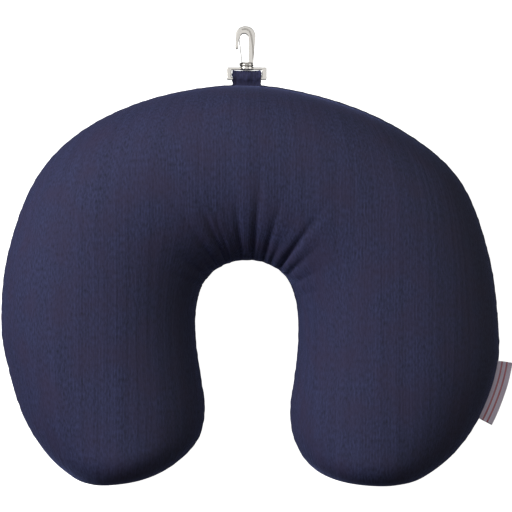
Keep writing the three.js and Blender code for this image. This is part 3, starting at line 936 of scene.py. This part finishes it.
# %% [markdown]
# ## The hardware
# Flat castings are drawn as an outline, filled, and given rounded edges. Round parts are turned:
# a profile spun about the hook's own axis. Pieces of one casting are joined as one solid.

# %% Cast the ring
EDGE = 0.5 * MM
SHARP_EDGE = math.radians(35)
SAME_POINT = 1e-7


def cleaned(mesh, merge=SAME_POINT):
    """Merges doubled points, drops faces without area and turns every face outwards."""
    work = bmesh.new()
    work.from_mesh(mesh)
    bmesh.ops.remove_doubles(work, verts=work.verts, dist=merge)
    bmesh.ops.dissolve_degenerate(work, edges=work.edges, dist=SAME_POINT)
    bmesh.ops.recalc_face_normals(work, faces=work.faces)
    work.to_mesh(mesh)
    work.free()
    return mesh


def cast_plate(name, outlines, thickness, edge):
    """A flat plate from closed outlines in X-Y, with rounded edges that add to its outline."""
    curve = bpy.data.curves.new(name, "CURVE")
    curve.dimensions = "2D"
    curve.fill_mode = "BOTH"
    curve.extrude = thickness / 2 - edge
    curve.bevel_depth = edge
    curve.bevel_resolution = 4
    for outline in outlines:
        spline = curve.splines.new("POLY")
        spline.points.add(len(outline) - 1)
        for point, (x, y) in zip(spline.points, outline):
            point.co = (x, y, 0, 1)
        spline.use_cyclic_u = True
    drawn = linked(name, curve)
    seen = drawn.evaluated_get(bpy.context.evaluated_depsgraph_get())
    mesh = bpy.data.meshes.new_from_object(seen)
    bpy.data.objects.remove(drawn)
    mesh.name = name
    return linked(name, cleaned(mesh, merge=10 * SAME_POINT))


def turned(name, profile, steps=56):
    """A solid of revolution about Y, from a closed profile of (radius, height)."""
    angles = [2 * math.pi * step / steps for step in range(steps)]
    points = [(r * math.cos(a), y, r * math.sin(a)) for a in angles for r, y in profile]
    count = len(profile)
    faces = []
    for step in range(steps):
        after = (step + 1) % steps
        for i in range(count):
            j = (i + 1) % count
            faces.append((step * count + i, step * count + j, after * count + j, after * count + i))
    mesh = bpy.data.meshes.new(name)
    mesh.from_pydata(points, [], faces)
    return linked(name, cleaned(mesh))


def moved_to(piece, place):
    """Moves the piece's own points, so the piece stays at the origin."""
    piece.data.transform(Matrix.Translation(place))
    return piece


def combined(piece, other, operation):
    """Joins another solid to a piece, or cuts it out."""
    modifier = piece.modifiers.new("joined", "BOOLEAN")
    modifier.operation = operation
    modifier.solver = "EXACT"
    modifier.object = other
    seen = piece.evaluated_get(bpy.context.evaluated_depsgraph_get())
    mesh = bpy.data.meshes.new_from_object(seen)
    piece.modifiers.remove(modifier)
    piece.data = mesh
    bpy.data.objects.remove(other)
    return piece


def finished(piece, material, slot, body, *nodes):
    """Smooth shading that breaks at sharp edges, and the piece's place under its body."""
    for face in piece.data.polygons:
        face.use_smooth = True
    piece.data.set_sharp_from_angle(angle=SHARP_EDGE)
    dressed(piece, material, slot, body, *nodes)
    size = [round(v / MM, 1) for v in piece.dimensions]
    print(piece.name, size, "mm,", len(piece.data.polygons), "faces")


def rounded_box(x, y, width, height, radius, steps=6):
    """The outline of a box with rounded corners, from its lower left corner and its size."""
    centres = [
        (x + width - radius, y + radius, -90), (x + width - radius, y + height - radius, 0),
        (x + radius, y + height - radius, 90), (x + radius, y + radius, 180),
    ]
    made = []
    for cx, cy, start in centres:
        for step in range(steps + 1):
            angle = math.radians(start + 90 * step / steps)
            made.append((cx + radius * math.cos(angle), cy + radius * math.sin(angle)))
    return made


RING_WIDTH = ring_high.x - ring_low.x
RING_HEIGHT = 8.3 * MM
RING_SIDE = 3.2 * MM
RING_THICKNESS = 2.2 * MM
RING_CORNER = 0.5 * MM
WINDOW_CORNER = 0.9 * MM
BOSS_FOOT = 5.6 * MM
BOSS_TOP = ring_high.y - BAR.y
COLLAR = (ring_high.z - ring_low.z) / 2
BORE = 1.6 * MM
RECESS = 2.6 * MM
RECESS_DEPTH = 1.1 * MM
window_width = RING_WIDTH - 2 * RING_SIDE
window_height = RING_HEIGHT - 4 * BAR_RADIUS
ring = cast_plate(
    "cast_ring",
    [
        rounded_box(
            -RING_WIDTH / 2 + EDGE, -BAR_RADIUS + EDGE,
            RING_WIDTH - 2 * EDGE, RING_HEIGHT - 2 * EDGE, RING_CORNER,
        ),
        rounded_box(
            -window_width / 2 - EDGE, BAR_RADIUS - EDGE,
            window_width + 2 * EDGE, window_height + 2 * EDGE, WINDOW_CORNER,
        ),
    ],
    RING_THICKNESS, EDGE,
)
boss = turned(
    "boss",
    [
        (0, BOSS_FOOT), (COLLAR - 0.5 * MM, BOSS_FOOT), (COLLAR - 0.15 * MM, BOSS_FOOT + 0.15 * MM),
        (COLLAR, BOSS_FOOT + 0.5 * MM), (COLLAR, BOSS_TOP - 0.5 * MM),
        (COLLAR - 0.15 * MM, BOSS_TOP - 0.15 * MM), (COLLAR - 0.5 * MM, BOSS_TOP), (0, BOSS_TOP),
    ],
)
bore = turned(
    "bore",
    [
        (0, BOSS_FOOT - MM), (RECESS, BOSS_FOOT - MM), (RECESS, BOSS_FOOT + RECESS_DEPTH),
        (BORE, BOSS_FOOT + RECESS_DEPTH), (BORE, BOSS_TOP + MM), (0, BOSS_TOP + MM),
    ],
)
ring = combined(combined(ring, boss, "UNION"), bore, "DIFFERENCE")
moved_to(ring, BAR)
finished(ring, NICKEL, "bright_nickel", "ring", "strap_ring")

# %% [markdown]
# ## The hook
# The outline is one closed line: up the arm, over the crown, round the nose and back along the
# mouth. A groove runs from the crown down the arm, on both faces. The collar is turned.

# %% Cast the hook
hook_low, hook_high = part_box("hook_body")
HOOK = Vector((AXIS_X, hook_low.y, (hook_low.z + hook_high.z) / 2))
ARM_OUTSIDE = [(3.9, 1.2), (4.1, 5), (4.7, 12), (5.4, 19.7)]
CROWN = (-0.9, 19.7, 6.3)  # centre and radius
NOSE = [
    (-7.2, 19.7), (-7.1, 15), (-7, 12.4), (-6.5, 11.6), (-6.05, 12.6), (-6, 15.8), (-5.5, 17.4),
    (-4.8, 18.9),
]
EYE = (-1.7, 18.9, 3.1)
ARM_INSIDE = [(1.4, 18.9), (1.4, 1.2)]
HOOK_THICKNESS = 3.6 * MM
GROOVE = [(-3.2, 24.0), (-0.6, 24.3), (1.5, 23.3), (2.8, 20.6), (3.5, 17), (4.2, 11.5), (4.3, 4.2)]
GROOVE_RADIUS = 0.46 * MM
GROOVE_DEEPER = 2.2  # so many times as deep as it is wide
COLLAR_PROFILE = [  # radius and height, with a waist between its two beads
    (0, 0), (4.2, 0), (4.5, 0.15), (4.6, 0.45), (4.5, 0.8), (4.25, 1.0), (4.15, 1.15), (4.25, 1.3),
    (4.45, 1.5), (4.5, 1.8), (4.3, 2.15), (3.9, 2.3), (0, 2.3),
]
STUD_HOLE_TOP = 1.7 * MM
SLOT_SIZE = (1.55 * MM, 4.6 * MM, HOOK_THICKNESS)  # in the collar, for the leaf's foot
SLOT_MIDDLE = (-3.125 * MM, 2.6 * MM, 0)
RIVET_Y = 1.3 * MM
RIVET_HOLE = 0.8 * MM
RIVET_SEAT = 1.2 * MM
SPIN = Matrix.Rotation(math.radians(90), 4, "Z")


def arc(centre_x, centre_y, radius, start, end, steps=24):
    """Points on an arc, from one angle in degrees to another."""
    angles = np.radians(np.linspace(start, end, steps + 1))
    return radius * np.column_stack([np.cos(angles), np.sin(angles)]) + (centre_x, centre_y)


def tube(name, points, radius, deep=1, sides=10):
    """A closed tube along points, so many times as deep as it is wide."""
    points = np.array(points, float)
    tangents = np.gradient(points, axis=0)
    tangents /= np.linalg.norm(tangents, axis=1, keepdims=True)
    up = np.array([0, 0, 1.0])
    made = []
    for point, tangent in zip(points, tangents):
        side = np.cross(tangent, up)
        side /= np.linalg.norm(side)
        over = np.cross(side, tangent)
        for step in range(sides):
            angle = 2 * math.pi * step / sides
            made.append(point + radius * (math.cos(angle) * side + deep * math.sin(angle) * over))
    faces = []
    for i in range(len(points) - 1):
        for j in range(sides):
            k = (j + 1) % sides
            faces.append((i * sides + j, i * sides + k, (i + 1) * sides + k, (i + 1) * sides + j))
    last = (len(points) - 1) * sides
    faces.append(tuple(reversed(range(sides))))
    faces.append(tuple(range(last, last + sides)))
    mesh = bpy.data.meshes.new(name)
    mesh.from_pydata([tuple(p) for p in made], [], faces)
    return linked(name, cleaned(mesh))


hook_outline = np.vstack(
    [
        smooth_line(np.array(ARM_OUTSIDE, float), 8)[:-1], arc(*CROWN, 0, 180)[:-1],
        smooth_line(np.array(NOSE, float), 6)[:-1], arc(*EYE, 180, 0, steps=20)[:-1],
        np.array(ARM_INSIDE, float),
    ]
)
hook = cast_plate("cast_hook", [hook_outline * MM], HOOK_THICKNESS, EDGE)
groove_line = smooth_line(np.array(GROOVE, float), 8) * MM
for face in (-1, 1):
    height = np.full((len(groove_line), 1), face * HOOK_THICKNESS / 2)
    route = np.hstack([groove_line, height])
    hook = combined(hook, tube("groove", route, GROOVE_RADIUS, deep=GROOVE_DEEPER), "DIFFERENCE")
collar = turned("collar", [(r * MM, y * MM) for r, y in COLLAR_PROFILE])
hook = combined(hook, collar, "UNION")
stud_hole = [(0, -MM), (BORE, -MM), (BORE, STUD_HOLE_TOP), (0, STUD_HOLE_TOP)]
hook = combined(hook, turned("stud_hole", stud_hole), "DIFFERENCE")
cutter = linked("slot", bpy.data.meshes.new("slot"))
work = bmesh.new()
place = Matrix.Translation(SLOT_MIDDLE) @ Matrix.Diagonal((*SLOT_SIZE, 1))
bmesh.ops.create_cube(work, size=1, matrix=place)
work.to_mesh(cutter.data)
work.free()
hook = combined(hook, cutter, "DIFFERENCE")


def pin(name, radius, left, right):
    """A round pin along X, at the rivet's height."""
    made = turned(name, [(0, -right), (radius, -right), (radius, -left), (0, -left)], steps=24)
    made.data.transform(Matrix.Translation((0, RIVET_Y, 0)) @ SPIN)
    return made


hook = combined(hook, pin("rivet_hole", RIVET_HOLE, -5.6 * MM, -2.35 * MM), "DIFFERENCE")
hook = combined(hook, pin("rivet_seat", RIVET_SEAT, -5.6 * MM, -4.25 * MM), "DIFFERENCE")
moved_to(hook, HOOK)
finished(hook, NICKEL, "bright_nickel", "hook", "hook_body")

# %% [markdown]
# ## The leaf, the rivet and the stud
# The leaf is bent strip: its foot stands in the collar's slot, and its tip rests behind the nose.
# The rivet and the stud are turned pins, and the CAD's own shapes show them well enough.

# %% Bend the leaf
gate_low, gate_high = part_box("spring_gate")
LEAF_WIDTH = gate_high.z - gate_low.z
LEAF_EDGE = 0.12 * MM
LEAF_LINE = [(-3.2, 0.6), (-3.2, 2.7), (-3.35, 4.2), (-4.0, 10), (-4.7, 15.8), (-4.45, 17.0)]
LEAF_HALF = 0.4 * MM - LEAF_EDGE  # half the strip's thickness, less its rounded edge
leaf_line = smooth_line(np.array(LEAF_LINE, float), 6) * MM
leaf_along = np.gradient(leaf_line, axis=0)
leaf_along /= np.linalg.norm(leaf_along, axis=1, keepdims=True)
leaf_side = np.column_stack([leaf_along[:, 1], -leaf_along[:, 0]]) * LEAF_HALF
leaf_outline = np.vstack([leaf_line + leaf_side, (leaf_line - leaf_side)[::-1]])
leaf = cast_plate("bent_leaf", [leaf_outline], LEAF_WIDTH, LEAF_EDGE)
leaf = combined(leaf, pin("leaf_hole", RIVET_HOLE, -4.6 * MM, -1.8 * MM), "DIFFERENCE")
moved_to(leaf, HOOK)
finished(leaf, SPRING_STEEL, "spring_steel", "gate", "spring_gate")
for name, material in (("swivel_stud", NICKEL), ("gate_rivet", SPRING_STEEL)):
    node = bpy.data.objects[name]
    node.data.materials.clear()
    node.data.materials.append(material)

# %% [markdown]
# ## Light and camera
# The pillow lies on a white table and is seen from straight above. A large soft light stands to the
# left and a weak one hangs overhead. Three white cards are there for the metal to mirror. The table
# is white enough to lose its own shadows.

# %% Set the stage
FLOOR_Z = -0.3 * MM  # just clear of the flat underside
TABLE = 4  # half its side, far past the camera's view
floor = linked("floor", bpy.data.meshes.new("floor"))
corners = [(-TABLE, -TABLE), (TABLE, -TABLE), (TABLE, TABLE), (-TABLE, TABLE)]
floor.data.from_pydata([(x, y, FLOOR_Z) for x, y in corners], [], [(0, 1, 2, 3)])
WHITE, _, _ = new_material(
    "white_table",
    {"Base Color": linear("#f4f4f4"), "Roughness": 0.9, "Emission Color": linear("#ffffff"),
     "Emission Strength": 1.0},
)
floor.data.materials.append(WHITE)
floor.visible_diffuse = False
floor.visible_glossy = False

scene = bpy.context.scene
scene.view_settings.view_transform = "Standard"
camera = linked("camera", bpy.data.cameras.new("camera"))
scene.camera = camera
HEIGHT = 1.5
VIEW = 0.339  # width of what the camera sees at the seam
VIEW_MIDDLE = (AXIS_X + 6.16 * MM, -0.19 * MM)
camera.location = (*VIEW_MIDDLE, SEAM_Z + HEIGHT)
camera.data.lens = camera.data.sensor_width * HEIGHT / VIEW


def soft_light(name, place, size, power, shown=True, on_cloth=True):
    """A square soft light that faces the pillow. One that isn't on the cloth only shines in metal."""
    light = bpy.data.lights.new(name, "AREA")
    light.size = size
    light.energy = power
    lamp = linked(name, light)
    lamp.location = place
    lamp.rotation_euler = (-Vector(place)).to_track_quat("-Z", "Y").to_euler()
    lamp.visible_camera = shown
    lamp.visible_diffuse = on_cloth


soft_light("key", (-1.25, 0.6, 1.0), 0.9, 27)
soft_light("overhead", (0, 0.2, 1.9), 1.6, 5.5, shown=False)
soft_light("top_card", (0, 0.15, 1.7), 1.5, 4, shown=False, on_cloth=False)
soft_light("right_card", (1.2, 0.3, 0.75), 1.1, 9, shown=False, on_cloth=False)
soft_light("back_card", (0, 1.4, 0.6), 1.1, 6, shown=False, on_cloth=False)
scene.world = bpy.data.worlds.new("studio")
scene.world.use_nodes = True
sky = scene.world.node_tree.nodes["Background"]
sky.inputs["Color"].default_value = (1, 1, 1, 1)
sky.inputs["Strength"].default_value = 0.05
